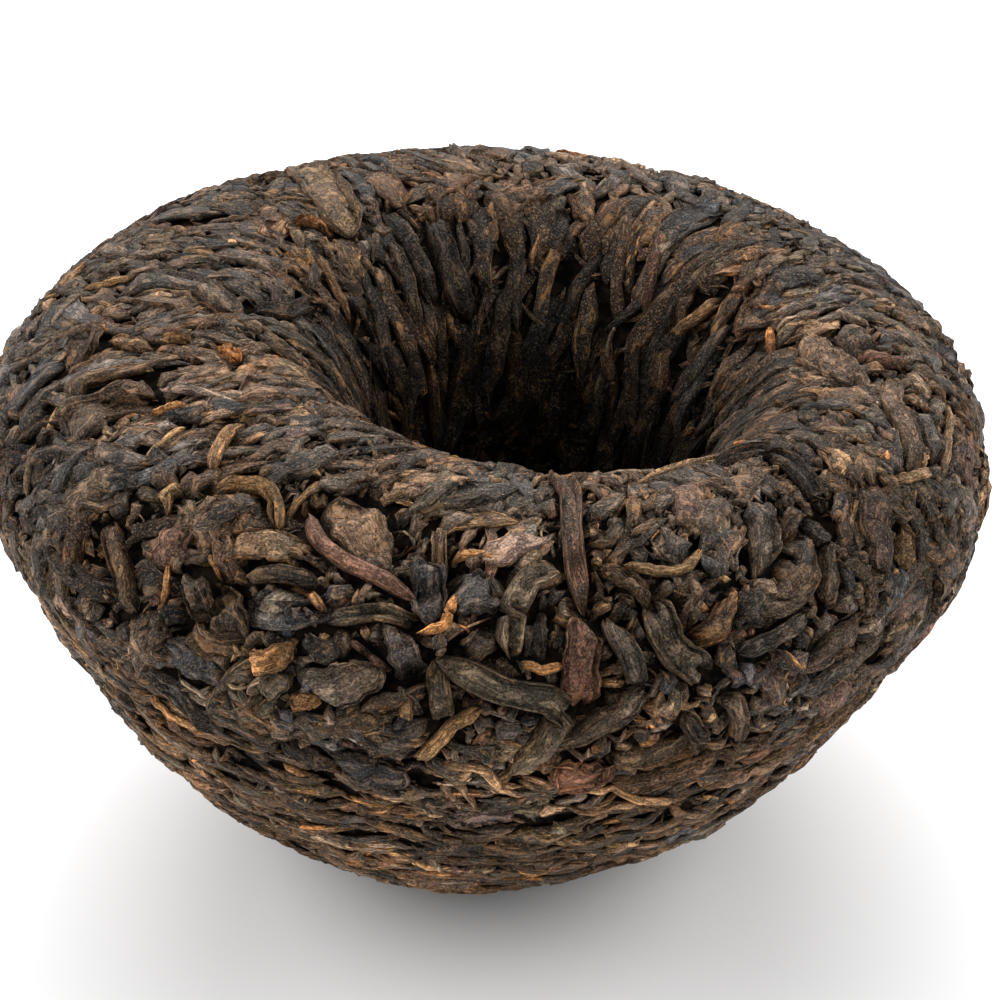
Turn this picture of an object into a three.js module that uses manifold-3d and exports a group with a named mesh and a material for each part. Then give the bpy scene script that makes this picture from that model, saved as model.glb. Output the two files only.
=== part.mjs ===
// A tuocha: ripe tea leaves pressed into a thick bowl, with a deep hollow in its top and a round bottom.
// Millimetres, +Z up. The origin is the middle of the small flat spot that it stands on, and 0 degrees
// of azimuth faces the front (-Y), 90 degrees the right (+X).
import * as THREE from "three";
import { mergeVertices } from "three/addons/utils/BufferGeometryUtils.js";
import Module from "manifold-3d";

const wasm = await Module();
wasm.setup();

// The form that the leaves' tops reach
const WIDEST_RADIUS = 41;
const WIDEST_HEIGHT = 35;
const CREST_RADIUS = 26;
const CREST_HEIGHT = 45.4;
const THROAT_RADIUS = 12;
const THROAT_DEPTH = 21;
const HOLLOW_DEPTH = 30;
const BOTTOM_RADIUS = 10;

// How the dome under the widest place swells, and how its levels are spaced
const DOME_FALL = 1.4;
const DOME_SWELL = 1.75;
const DOME_SPACING = 1.6;

// What the hand press leaves uneven: an oval outline, a hollow off centre, and a lean to the right
const OVAL = 1.2;
const OVAL_DIRECTION = -25;
const HOLLOW_SHIFT = { x: 3.8, y: -0.8 };
const LEAN = 4.5;
const LEAN_PIVOT_HEIGHT = 20;

// The bottom has settled level up to a level, and a thin slice off it makes the flat spot
const SETTLED_LEVEL = 0.4;
const SPOT_CENTRE_X = -1.5;
const SPOT_SLICE = 0.15;

// The core lies under the leaves' tops and is rough
const CORE_INSET = 1.2;
const CORE_ROUGHNESS = 0.4;
const CORE_SEGMENTS = 40;
const ROWS_PER_STRETCH = [6, 5, 6, 3];

// A leaf's solid: sides of its section, rows along it, how deep it roots and how blunt its ends are
const LEAF_SIDES = 6;
const LEAF_ROWS = 5;
const LEAF_DEPTH = 2.1;
const LEAF_BLUNTNESS = 0.45;
const LEAF_WAVE = 0.2;
const LEAF_COLOR = 0x3a2f28;
const LEAF_ROUGHNESS = 0.8;

// How the unnamed leaves are spread, and how far they stay from the named ones
const SEED = 35;
const GOLDEN_ANGLE = 137.5;
const CLEARANCE = 1.6;

// What the join leaves out, and the grid that its corners lie on
const SMALLEST_STEP = 0.06;
const GRID = 0.01;

// Leaves that can be told apart: a path of [azimuth, level] and a width. A level is 0 at the
// bottom's edge, 1 at the widest place, 2 on the crest, 3 in the throat and 4 in the middle of its floor.
const TOLD_APART = {
  red_rod: { path: [[-29, 1.71], [-25, 1.62], [-19, 1.57], [-11.5, 1.51]], width: 1.3 },
  folded_fan: { path: [[-27.5, 1.8], [-22.5, 1.72], [-16.5, 1.62]], width: 3.7 },
  dark_diamond: { path: [[-12, 1.64], [-10, 1.53], [-8.5, 1.43]], width: 2.5 },
  dark_round: { path: [[-8, 1.56], [-5, 1.55], [-2.5, 1.55]], width: 3.2 },
  olive_banana: { path: [[4, 1.67], [0, 1.61], [-0.5, 1.47], [0.5, 1.33]], width: 1.9 },
  straight_purple: { path: [[2, 2.08], [4, 1.81], [6, 1.65], [7.5, 1.49]], width: 1.6 },
  red_crumple: { path: [[7.5, 1.45], [8, 1.26], [9, 1.06]], width: 2.7 },
  olive_back: { path: [[-4.5, 1.28], [-2.5, 1.38], [-1.5, 1.44]], width: 2 },
  hooked_strip: {
    path: [[-5.5, 1.28], [-2, 1.21], [2, 1.14], [6, 1.15], [7, 1.02], [4.5, 0.94], [3, 0.89]],
    width: 2.1,
  },
  upright_leaf: { path: [[-7, 1.28], [-5.5, 1.13], [-4.5, 0.99]], width: 1.6 },
  gold_stick: { path: [[-1.5, 1.07], [-4.5, 0.98], [-7, 0.92]], width: 1.2 },
  blue_leaf: { path: [[-11, 1.36], [-9.5, 1.26], [-8.5, 1.17]], width: 2.1 },
  pale_crumple: { path: [[-17.5, 1.07], [-14.5, 1.13], [-12.5, 1.21]], width: 3 },
  tan_scale: { path: [[-23.5, 0.98], [-22, 1.04], [-21, 1.18]], width: 2.2 },
  gold_loop: { path: [[-41.5, 1.64], [-36.5, 1.73], [-33.5, 1.7], [-30.5, 1.6]], width: 1.3 },
  brown_tongue: { path: [[-67, 1.6], [-66.5, 1.68], [-64, 1.76]], width: 1.9 },
  brown_leaf_left: { path: [[-63, 1.44], [-62.5, 1.54], [-62.5, 1.63]], width: 2.6 },
  left_tongue: { path: [[-47.5, 1.35], [-42, 1.23], [-39, 1.09]], width: 1.6 },
  left_lens: { path: [[-31.5, 1.34], [-29, 1.27], [-26.5, 1.18]], width: 2.6 },
  left_patch: { path: [[-35, 1], [-31, 1], [-27, 1]], width: 2.5 },
  dark_s_strip: {
    path: [[11, 1.45], [13, 1.3], [14.5, 1.2], [14, 1.08], [11, 1], [7, 0.95]],
    width: 1.7,
  },
  olive_boomerang: { path: [[16, 1.51], [17, 1.37], [18.5, 1.27], [22.5, 1.17]], width: 2.6 },
  edge_lit_leaf: { path: [[25, 1.5], [23, 1.38], [20, 1.3]], width: 1.8 },
  blunt_block: { path: [[32.5, 1.86], [31, 1.69], [30, 1.53]], width: 2.5 },
  curved_dark: { path: [[38.5, 1.69], [39.5, 1.55], [38, 1.31]], width: 1.3 },
  purple_flat: { path: [[52, 1.7], [48.5, 1.53], [47.5, 1.33]], width: 2.8 },
  gold_flake: { path: [[53.5, 1.46], [52.5, 1.36], [51.5, 1.26]], width: 1.9 },
  wavy_leaf: { path: [[79, 1.93], [71, 1.88], [67.5, 1.73], [62, 1.62]], width: 1.9 },
  pink_bulb: { path: [[88, 2.05], [86.5, 1.95], [86, 1.83]], width: 1.5 },
  smooth_oval: { path: [[97.5, 2.09], [93, 2.06], [86.5, 2.03]], width: 2.8 },
  right_tongue: { path: [[75, 1.76], [70.5, 1.64], [68, 1.51]], width: 1.8 },
  red_triangle: { path: [[7, 0.91], [9.5, 0.9], [12.5, 0.91]], width: 2.6 },
  speckled_leaf: { path: [[12, 0.94], [16.5, 0.94], [20.5, 0.97]], width: 2 },
  long_brown: { path: [[13, 0.86], [20, 0.87], [27, 0.88]], width: 1.7 },
  low_dark: { path: [[-22, 0.9], [-16, 0.89], [-9, 0.89]], width: 2.4 },
  lip_sweep: { path: [[33.5, 2.2], [42, 2.14], [42.5, 1.93], [42.5, 1.71]], width: 1.6 },
  right_patch: { path: [[35.5, 1.1], [39, 1.12], [43, 1.13]], width: 2.5 },
};

// The rest follow a rule for each stretch. A heading of 0 runs up the profile and into the hollow, and
// 90 runs round the cake. On the dome they are pressed round it, on the shoulder they lie anyhow, and
// over the crest they are drawn down into the hollow, with a slight swirl.
const STRETCHES = [
  { count: 20, levels: [0.25, 0.9], heading: 90, spread: 14, length: [13, 19], width: [2.6, 3.6] },
  { count: 19, levels: [0.95, 1.6], heading: 60, spread: 85, length: [11, 16], width: [2.6, 3.5] },
  { count: 22, levels: [1.65, 2.5], heading: 14, spread: 20, length: [13, 19], width: [2.5, 3.4] },
  { count: 8, levels: [2.6, 3.05], heading: 8, spread: 10, length: [8, 12], width: [1.8, 2.4] },
];

const degrees = THREE.MathUtils.degToRad;
const within = THREE.MathUtils.clamp;

function seededDraw(seed) {
  let state = seed;
  return (low, high) => {
    state = (Math.imul(state, 1664525) + 1013904223) >>> 0;
    return low + ((high - low) * state) / 2 ** 32;
  };
}

// Radius and height of the upright profile at a level, and how far the hollow's shift counts there
function profile(azimuth, level) {
  const oval = OVAL * Math.cos(2 * degrees(azimuth - OVAL_DIRECTION));
  const widest = WIDEST_RADIUS + oval;
  const turn = degrees(90 * (level % 1 || (level > 0 ? 1 : 0)));
  if (level <= 1) {
    const rise = Math.max(level, 0) ** DOME_SPACING;
    const swell = (1 - (1 - rise) ** DOME_FALL) ** (1 / DOME_SWELL);
    return { r: BOTTOM_RADIUS + (widest - BOTTOM_RADIUS) * swell, z: WIDEST_HEIGHT * rise, shift: 0 };
  }
  if (level <= 2) {
    const r = CREST_RADIUS + (widest - CREST_RADIUS) * Math.cos(turn);
    const z = WIDEST_HEIGHT + (CREST_HEIGHT - WIDEST_HEIGHT) * Math.sin(turn);
    return { r, z, shift: 1 - Math.cos(turn) };
  }
  if (level <= 3) {
    const r = CREST_RADIUS - (CREST_RADIUS - THROAT_RADIUS) * Math.sin(turn);
    return { r, z: CREST_HEIGHT - THROAT_DEPTH * (1 - Math.cos(turn)), shift: 1 };
  }
  const floor = THROAT_DEPTH + (HOLLOW_DEPTH - THROAT_DEPTH) * Math.sin(turn);
  return { r: THROAT_RADIUS * Math.cos(turn), z: CREST_HEIGHT - floor, shift: 1 };
}

function leaned(point, level) {
  const settled = Math.max(0, 1 - level / SETTLED_LEVEL) ** 2;
  const pivot = new THREE.Vector3(0, 0, LEAN_PIVOT_HEIGHT);
  point.z += point.x * Math.tan(degrees(LEAN)) * settled;
  point.sub(pivot).applyAxisAngle(new THREE.Vector3(0, 1, 0), degrees(LEAN)).add(pivot);
  return point.sub(new THREE.Vector3(SPOT_CENTRE_X, 0, SPOT_SLICE));
}

function onForm(azimuth, level) {
  const { r, z, shift } = profile(azimuth, level);
  const a = degrees(azimuth);
  const x = r * Math.sin(a) + HOLLOW_SHIFT.x * shift;
  const y = -r * Math.cos(a) + HOLLOW_SHIFT.y * shift;
  return leaned(new THREE.Vector3(x, y, z), level);
}

// The form's outward normal, and its steps per degree round and per level up
function surfaceAt(azimuth, level) {
  const nudge = 0.01;
  const low = within(level, nudge, 4 - 2 * nudge);
  const round = onForm(azimuth + 1, low).sub(onForm(azimuth - 1, low)).divideScalar(2);
  const up = onForm(azimuth, low + nudge).sub(onForm(azimuth, low - nudge)).divideScalar(2 * nudge);
  const normal = new THREE.Vector3().crossVectors(round, up).normalize();
  return { point: onForm(azimuth, level), normal, round, up };
}

// A geometry as one closed body: vertices merged, and triangles that the poles collapse dropped
function solid(geometry) {
  geometry.deleteAttribute("normal");
  geometry.deleteAttribute("uv");
  const merged = mergeVertices(geometry, 1e-4);
  const corners = Array.from(merged.index.array);
  const triangles = [];
  for (let i = 0; i < corners.length; i += 3) {
    const [a, b, c] = corners.slice(i, i + 3);
    if (a !== b && b !== c && c !== a) triangles.push(a, b, c);
  }
  const mesh = new wasm.Mesh({
    numProp: 3,
    vertProperties: new Float32Array(merged.attributes.position.array),
    triVerts: new Uint32Array(triangles),
  });
  return new wasm.Manifold(mesh);
}

// Levels of the core's rows, from the bottom's edge to the middle of the hollow's floor
function coreLevels() {
  const levels = [];
  ROWS_PER_STRETCH.forEach((rows, stretch) => {
    for (let row = 0; row < rows; row += 1) levels.push(stretch + row / rows);
  });
  return levels;
}

function core(draw) {
  const levels = coreLevels();
  const outline = levels.map((level) => new THREE.Vector2(1, level));
  outline.unshift(new THREE.Vector2(0, 0));
  outline.push(new THREE.Vector2(0, 4));
  const geometry = new THREE.LatheGeometry(outline, CORE_SEGMENTS);
  const position = geometry.attributes.position;
  const rowCount = outline.length;
  const bottom = leaned(new THREE.Vector3(0, 0, 0), 0);
  const floor = surfaceAt(0, 4).point;
  const lift = levels.map(() => Array.from({ length: CORE_SEGMENTS }, () => draw(-1, 1)));
  for (let i = 0; i < position.count; i += 1) {
    const row = i % rowCount;
    const segment = Math.floor(i / rowCount) % CORE_SEGMENTS;
    let point = bottom;
    if (row === rowCount - 1) point = floor;
    if (row > 0 && row < rowCount - 1) {
      const place = surfaceAt((segment * 360) / CORE_SEGMENTS, levels[row - 1]);
      const inset = CORE_INSET * Math.min(1, levels[row - 1] / SETTLED_LEVEL);
      const out = CORE_ROUGHNESS * lift[row - 1][segment] - inset;
      point = place.point.addScaledVector(place.normal, out);
    }
    position.setXYZ(i, point.x, point.y, point.z);
  }
  return solid(geometry);
}

// A leaf is a thin spindle bent along its path, waved a little, with its top at the form
function leaf({ path, width }, draw) {
  const rows = LEAF_ROWS + Math.max(0, path.length - 4);
  const stations = path.map(([azimuth, level]) => new THREE.Vector3(azimuth, level, 0));
  const route = new THREE.CatmullRomCurve3(stations);
  const geometry = new THREE.SphereGeometry(1, LEAF_SIDES, rows);
  const position = geometry.attributes.position;
  const phase = draw(0, 360);
  for (let i = 0; i < position.count; i += 1) {
    const along = Math.acos(within(position.getY(i), -1, 1)) / Math.PI;
    const spread = Math.sin(Math.PI * along) ** LEAF_BLUNTNESS;
    const girth = Math.max(Math.sin(Math.PI * along), 1e-6);
    const place = route.getPoint(along);
    const ahead = route.getPoint(Math.min(along + 0.02, 1));
    const behind = route.getPoint(Math.max(along - 0.02, 0));
    const { point, normal } = surfaceAt(place.x, place.y);
    const forward = onForm(ahead.x, ahead.y).sub(onForm(behind.x, behind.y));
    const side = new THREE.Vector3().crossVectors(normal, forward).normalize();
    const across = (position.getX(i) / girth) * spread * (width / 2);
    const over = (position.getZ(i) / girth) * spread * (LEAF_DEPTH / 2);
    const wave = LEAF_WAVE * Math.sin(degrees(phase + 400 * along));
    point.addScaledVector(side, across).addScaledVector(normal, over + wave - LEAF_DEPTH / 2);
    position.setXYZ(i, point.x, point.y, point.z);
  }
  return solid(geometry);
}

// The path of a leaf of some length through a place on the form, bending as it goes
function pathThrough(azimuth, level, heading, length, bend) {
  const walk = (sense) => {
    const steps = [];
    const here = { azimuth, level };
    for (let step = 1; step <= 2; step += 1) {
      const { round, up } = surfaceAt(here.azimuth, here.level);
      const course = degrees(heading + sense * bend * step);
      const reach = (sense * length) / 4;
      here.azimuth += (reach * Math.sin(course)) / Math.max(round.length(), 0.1);
      here.level = within(here.level + (reach * Math.cos(course)) / up.length(), 0.1, 3.4);
      steps.push([here.azimuth, here.level]);
    }
    return steps;
  };
  return [...walk(-1).reverse(), [azimuth, level], ...walk(1)];
}

function scattered(draw) {
  const taken = Object.values(TOLD_APART).flatMap(({ path }) => path.map((place) => onForm(...place)));
  const leaves = [];
  for (const { count, levels, heading, spread, length, width } of STRETCHES) {
    for (let n = 0; n < count; n += 1) {
      const azimuth = n * GOLDEN_ANGLE + draw(-4, 4);
      const level = levels[0] + ((levels[1] - levels[0]) * (n + 0.5)) / count;
      const course = heading + draw(-spread, spread);
      const path = pathThrough(azimuth, level, course, draw(...length), draw(-18, 18));
      const leafWidth = draw(...width);
      const middle = onForm(azimuth, level);
      const free = taken.every((point) => point.distanceTo(middle) > CLEARANCE);
      if (free) leaves.push({ path, width: leafWidth });
    }
  }
  return leaves;
}

// Everything under the flat spot, which is cut away
function underside() {
  const slab = new THREE.BoxGeometry(4 * WIDEST_RADIUS, 4 * WIDEST_RADIUS, WIDEST_RADIUS);
  return solid(slab.translate(0, 0, -WIDEST_RADIUS / 2));
}

// A body as a geometry with its corners on a fine grid, so that no two of them all but touch
function onGrid(body) {
  const { vertProperties, triVerts } = body.getMesh();
  const corners = vertProperties.map((value) => Math.round(value / GRID) * GRID);
  const geometry = new THREE.BufferGeometry();
  geometry.setAttribute("position", new THREE.BufferAttribute(corners, 3));
  geometry.setIndex(new THREE.BufferAttribute(triVerts, 1));
  return geometry;
}

// The largest body of a join: loose scraps and the shells of sealed pockets are left behind
function mainBody(joined) {
  const bodies = joined.decompose();
  return bodies.reduce((best, body) => (body.volume() > best.volume() ? body : best));
}

function teaCake() {
  const draw = seededDraw(SEED);
  const pieces = [core(draw)];
  for (const one of [...Object.values(TOLD_APART), ...scattered(draw)]) pieces.push(leaf(one, draw));
  const joined = wasm.Manifold.union(pieces).asOriginal().simplify(SMALLEST_STEP);
  const cake = mainBody(solid(onGrid(joined.subtract(underside()))));
  const geometry = onGrid(cake);
  geometry.computeVertexNormals();
  const material = new THREE.MeshStandardMaterial({ color: LEAF_COLOR, roughness: LEAF_ROUGHNESS });
  const mesh = new THREE.Mesh(geometry, material);
  mesh.name = "tea_cake";
  return mesh;
}

const tuocha = new THREE.Group();
tuocha.add(teaCake());

export default tuocha;
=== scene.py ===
import bpy
import numpy as np
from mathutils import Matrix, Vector


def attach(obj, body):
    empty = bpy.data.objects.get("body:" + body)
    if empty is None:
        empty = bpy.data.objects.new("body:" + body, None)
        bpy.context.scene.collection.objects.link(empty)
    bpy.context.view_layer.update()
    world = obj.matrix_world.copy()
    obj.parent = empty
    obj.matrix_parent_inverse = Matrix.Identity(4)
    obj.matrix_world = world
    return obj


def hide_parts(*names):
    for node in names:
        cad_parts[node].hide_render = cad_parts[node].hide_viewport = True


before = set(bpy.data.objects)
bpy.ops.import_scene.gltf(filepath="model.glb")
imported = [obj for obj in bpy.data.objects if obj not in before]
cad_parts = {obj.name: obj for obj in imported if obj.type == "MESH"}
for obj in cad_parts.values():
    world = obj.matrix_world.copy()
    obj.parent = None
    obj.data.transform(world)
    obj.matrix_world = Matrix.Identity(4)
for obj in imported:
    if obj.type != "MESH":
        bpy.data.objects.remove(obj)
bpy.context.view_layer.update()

MM = 0.001
SEED = 11

# The form that the leaves' tops reach
WIDEST_RADIUS = 41.0
WIDEST_HEIGHT = 35.0
CREST_RADIUS = 26.0
CREST_HEIGHT = 45.4
THROAT_RADIUS = 12.0
THROAT_DEPTH = 21.0
HOLLOW_DEPTH = 30.0
BOTTOM_RADIUS = 10.0
DOME_FALL = 1.4
DOME_SWELL = 1.75
DOME_SPACING = 1.6
OVAL = 1.2
OVAL_DIRECTION = -25.0
HOLLOW_SHIFT = (3.8, -0.8)
LEAN = 4.5
LEAN_PIVOT_HEIGHT = 20.0
SETTLED_LEVEL = 0.4
SPOT_CENTRE_X = -1.5
SPOT_SLICE = 0.15

# How near to levels -1 and 4 the form, its outline, its directions and the leaves go
FORM_END = 3.9999
OUTLINE_END = 3.999
OUTLINE_POINTS = 2001
DIRECTION_ENDS = (-0.97, 3.97)
LEAF_ENDS = (-0.93, 3.9)

# How leaves are laid: cells of the height map, stations along a leaf, places across it, how much sooner long
# ones come, how far each sinks in, and how uneven the bed is
CELL = 0.4
STATIONS = 28
ACROSS = 7
LONG_FIRST = 12
SINK = 0.2
BED_UNEVENNESS = 0.2
NO_LID = 9.0

# Shares of a leaf: the least room and the least that shows, the width that takes up room, the fall of its
# top to its sides and ends, and how much of a named one stays clear of others
LEAST_ROOM = 0.42
LEAST_SHOWN = 0.12
SHOWN_MARGIN = 0.05
FOOTPRINT = 0.92
CROWN = 0.85
END_DIP = 0.4
NAMED_CLEAR = 0.75

# The named leaves' highest top and flatness, and how far the core lies under the leaves' tops and mounds
NAMED_TOP = 0.16
NAMED_FLATNESS = 0.82
UNDER_LEAVES = 0.55
MOUND_LEVELS = [0.8, 1.1, 1.7, 2.0]
UNDER_MOUNDS = [0.42, 1.25, 0.9, 0.55]
LOWEST = 0.02

# How uneven the leaves' tops are at some levels, in mm, their mean as a share of that, and the highest
TOP_LEVELS = [0.7, 1.1, 1.7, 2.4]
TOP_UNEVENNESS = [0.06, 0.24, 0.16, 0.16]
TOP_MEAN = -0.08
HIGHEST_TOP = 0.3

# How far chips and shreds stand above the longer leaves at some levels, in mm: below 0 they only fill gaps
LITTER_LEVELS = [0.8, 1.0, 1.2, 1.6, 1.8, 2.2, 2.5]
LITTER_RISES = [0.08, 0.0, -0.1, -0.1, -0.02, 0.0, -0.15]

# Depth of loose leaf under the form at some levels, in mm
BED_LEVELS = [-1.0, 0.0, 0.8, 1.0, 1.3, 1.7, 2.2, 3.0, 4.0]
BED_DEPTHS = [0.8, 0.8, 1.1, 2.2, 3.2, 2.8, 2.4, 2.2, 1.6]

# How light and how warm the leaf is at some levels, darkened down the hollow's wall as painted shade, and how
# much that drifts from place to place
ZONE_LEVELS = [0.0, 0.9, 1.1, 1.6, 1.9, 2.15, 2.4, 2.7, 3.0, 3.3, 4.0]
ZONE_SHADES = [1.3, 1.12, 0.94, 0.9, 0.8, 0.72, 0.55, 0.2, 0.05, 0.18, 0.32]
ZONE_WARMTHS = [0.1, 0.09, 0.02, 0.03, 0.06, 0.08, 0.12, 0.1, 0.06, 0.06, 0.06]
PATCH_SHADE = 0.28
PATCH_WARMTH = 0.07
DRIFT_WAVES = 14
DRIFT_LENGTHS = (7, 20)

# Places that are lighter or darker, and warmer, than their zone: azimuth, level, reach in mm, factor, warmth
BLOTCHES = [
    (-148, 2.0, 18, 0.5, 0.09),
    (40, 1.35, 15, 0.62, 0.0),
    (-40, 1.3, 12, 0.86, 0.03),
    (-75, 1.1, 14, 0.66, 0.0),
    (0, 0.75, 12, 1.08, 0.02),
    (0, 1.95, 12, 1.26, 0.03),
]

# Leaf colours, linear
COLOURS = {
    "black": (0.016, 0.014, 0.013),
    "slate": (0.029, 0.029, 0.031),
    "dark": (0.030, 0.024, 0.020),
    "grey": (0.056, 0.047, 0.040),
    "olive": (0.060, 0.050, 0.036),
    "brown": (0.068, 0.043, 0.029),
    "pale": (0.125, 0.090, 0.064),
    "purple": (0.054, 0.034, 0.028),
    "red": (0.098, 0.048, 0.034),
    "tan": (0.190, 0.118, 0.064),
    "gold": (0.225, 0.130, 0.056),
    "orange": (0.270, 0.122, 0.042),
}

# How warmth counts in red, green and blue, and how far single leaves differ from their named colour
WARMER = np.array([1.0, 0.1, -1.0])
WARMTH_SPREAD = 0.07
TINT_SPREAD = 0.42
TINT_LIMITS = (-1.8, 1.3)
RIMS = (["tan", "pale", "gold"], [3, 4, 1], 0.2)

# How sizes within a range, strengths of rims and paces of waves are spread
SIZE_SPREAD = (1.6, 2.4)
RIM_STRENGTHS = (1.2, 4.0)
PACES = (0.7, 1.3)

# Each kind of leaf: how blunt its ends are, how boxy its section, the depth and number of its folds, its
# curl, roll, ragged edge and the slant of its ends, and the rows and sides of its mesh
TRAITS = "blunt boxy fold folds curl roll ragged slant mesh".split()
KINDS = {
    "rolled": (9.0, 0.44, 0.2, 2.8, 0.3, 16, 0.2, 0.9, (14, 12)),
    "flat": (8.0, 0.36, 0.18, 3.8, 0.5, 12, 0.28, 0.8, (10, 12)),
    "chip": (5.5, 0.42, 0.12, 2.4, 0.4, 18, 0.3, 0.9, (6, 7)),
    "drawn": (4.5, 0.4, 0.11, 3.4, 0.34, 14, 0.26, 1.0, (9, 7)),
    "streak": (3.2, 0.56, 0.08, 2.4, 0.1, 6, 0.24, 1.0, (7, 6)),
    "stem": (8.0, 0.9, 0.04, 1.2, 0.0, 20, 0.14, 0.4, (8, 5)),
    "shred": (2.0, 0.8, 0.06, 1.0, 0.2, 50, 0.35, 0.5, (4, 4)),
}
KINDS = {kind: dict(zip(TRAITS, values)) for kind, values in KINDS.items()}
NAMED_MESH = (30, 20)

# A leaf's body: waves in its edge, sets of folds and their drift, the groove of a fold, its ends and tips
EDGE_WAVES = [0.8, 1.9, 3.7]
FOLD_SETS = [(1.0, 1.4), (1.9, 3.4), (3.1, 6.0)]
GROOVE_DEPTH = 1.9
GROOVE_WIDTH = 0.35
BLUNT_SPREAD = 0.35
TIP_FALL = 0.94
TAPERS = (0.45, 0.95)
NAMED_RAGGED = 0.55
FINE_ROWS = 9
TORN = 0.24
TORN_WIDTH = 2.0
OVERHANG = 0.10

# How worn a leaf's rim is, and how far painted shade darkens what is buried of it, with painted light on what
# stands above
WORN = (0.2, 2.2)
MOST_WORN = 0.9
BURIED_FALL = 1.9
BURIED_START = 0.10
BURIED_LIMITS = (0.03, 1.35)
PATTERN_SIZE = 200


def profile(azimuth, level):
    """Radius and height of the upright profile, and how far the hollow's shift counts there"""
    widest = WIDEST_RADIUS + OVAL * np.cos(2 * np.radians(azimuth - OVAL_DIRECTION))
    rise = np.clip(level, 0, 1) ** DOME_SPACING
    swell = (1 - (1 - rise) ** DOME_FALL) ** (1 / DOME_SWELL)
    turn = np.radians(90 * (level - np.floor(level)))
    upright, flat = np.sin(turn), np.cos(turn)
    stretches = [level < 0, level < 1, level < 2, level < 3]
    radii = [
        BOTTOM_RADIUS * (1 + level),
        BOTTOM_RADIUS + (widest - BOTTOM_RADIUS) * swell,
        CREST_RADIUS + (widest - CREST_RADIUS) * flat,
        CREST_RADIUS - (CREST_RADIUS - THROAT_RADIUS) * upright,
    ]
    heights = [
        0 * level,
        WIDEST_HEIGHT * rise,
        WIDEST_HEIGHT + (CREST_HEIGHT - WIDEST_HEIGHT) * upright,
        CREST_HEIGHT - THROAT_DEPTH * (1 - flat),
    ]
    floor = CREST_HEIGHT - THROAT_DEPTH - (HOLLOW_DEPTH - THROAT_DEPTH) * upright
    radius = np.select(stretches, radii, THROAT_RADIUS * flat)
    height = np.select(stretches, heights, floor)
    shift = np.select(stretches, [0 * level, 0 * level, 1 - flat, 1 + 0 * level], 1.0)
    return radius, height, shift


def on_form(azimuth, level):
    """Points of the form, in mm"""
    azimuth, level = np.broadcast_arrays(azimuth, np.clip(level, -1, FORM_END))
    radius, height, shift = profile(azimuth, level)
    a = np.radians(azimuth)
    x = radius * np.sin(a) + HOLLOW_SHIFT[0] * shift
    y = -radius * np.cos(a) + HOLLOW_SHIFT[1] * shift
    settled = np.clip(1 - np.maximum(level, 0) / SETTLED_LEVEL, 0, 1) ** 2
    lean = np.radians(LEAN)
    up = height + x * np.tan(lean) * settled - LEAN_PIVOT_HEIGHT
    leaned_x = x * np.cos(lean) + up * np.sin(lean) - SPOT_CENTRE_X
    leaned_z = -x * np.sin(lean) + up * np.cos(lean) + LEAN_PIVOT_HEIGHT - SPOT_SLICE
    return np.stack([leaned_x, y, leaned_z], axis=-1)


def unit(vectors):
    return vectors / np.maximum(np.linalg.norm(vectors, axis=-1, keepdims=True), 1e-9)


def frame_at(azimuth, level):
    """Point, outward normal, and the unit directions round the cake and up the profile"""
    nudge = 0.01
    inner = np.clip(level, *DIRECTION_ENDS)
    turn = on_form(azimuth + 1, inner) - on_form(azimuth - 1, inner)
    climb = on_form(azimuth, inner + nudge) - on_form(azimuth, inner - nudge)
    normal = unit(np.cross(turn, climb))
    turn = unit(turn)
    return on_form(azimuth, level), normal, turn, np.cross(normal, turn)


# The outline's own lengths: arc from the middle of the flat spot, and mm for each degree and level
LEVELS = np.linspace(-1, OUTLINE_END, OUTLINE_POINTS)
OUTLINE_RADIUS, OUTLINE_HEIGHT, _ = profile(np.zeros_like(LEVELS), LEVELS)
ARC_STEPS = np.hypot(np.diff(OUTLINE_RADIUS), np.diff(OUTLINE_HEIGHT))
ARC = np.concatenate([[0], np.cumsum(ARC_STEPS)])
PER_LEVEL = np.gradient(ARC, LEVELS)


def mm_per_degree(level):
    return np.maximum(np.interp(level, LEVELS, OUTLINE_RADIUS), 1.0) * np.pi / 180


def mm_per_level(level):
    return np.interp(level, LEVELS, PER_LEVEL)


# The height map's cells lie in rings round the cake, with as many in a ring as its length takes
RINGS = int(ARC[-1] / CELL) + 1
RING_LEVEL = np.interp((np.arange(RINGS) + 0.5) * CELL, ARC, LEVELS)
RING_CELLS = np.maximum(6, np.round(360 * mm_per_degree(RING_LEVEL) / CELL)).astype(int)
RING_START = np.concatenate([[0], np.cumsum(RING_CELLS)])
CELL_RING = np.repeat(np.arange(RINGS), RING_CELLS)
CELL_LEVEL = RING_LEVEL[CELL_RING]
CELL_AZIMUTH = (np.arange(RING_START[-1]) - RING_START[CELL_RING] + 0.5) / RING_CELLS[CELL_RING] * 360
CELL_AZIMUTH = (CELL_AZIMUTH + 180) % 360 - 180


def cell_at(azimuth, level):
    ring = np.clip((np.interp(level, LEVELS, ARC) / CELL).astype(int), 0, RINGS - 1)
    place = (np.mod(azimuth, 360) / 360 * RING_CELLS[ring]).astype(int)
    return RING_START[ring] + np.minimum(place, RING_CELLS[ring] - 1)


def cell_beside(azimuth, level, course, off):
    """The cells that lie off to the side of a course, by off mm"""
    aside = azimuth - off * np.cos(course) / mm_per_degree(level)
    return cell_at(aside, level + off * np.sin(course) / mm_per_level(level))


def blurred(values, reach):
    """A map of cells, each the mean of those within reach of it, in mm"""
    total, count = values.copy(), 1
    for ring, places in ((0.5, 6), (1.0, 12)):
        for course in np.linspace(0, 2 * np.pi, places, endpoint=False):
            total = total + values[cell_beside(CELL_AZIMUTH, CELL_LEVEL, course, ring * reach)]
            count += 1
    return total / count


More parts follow.
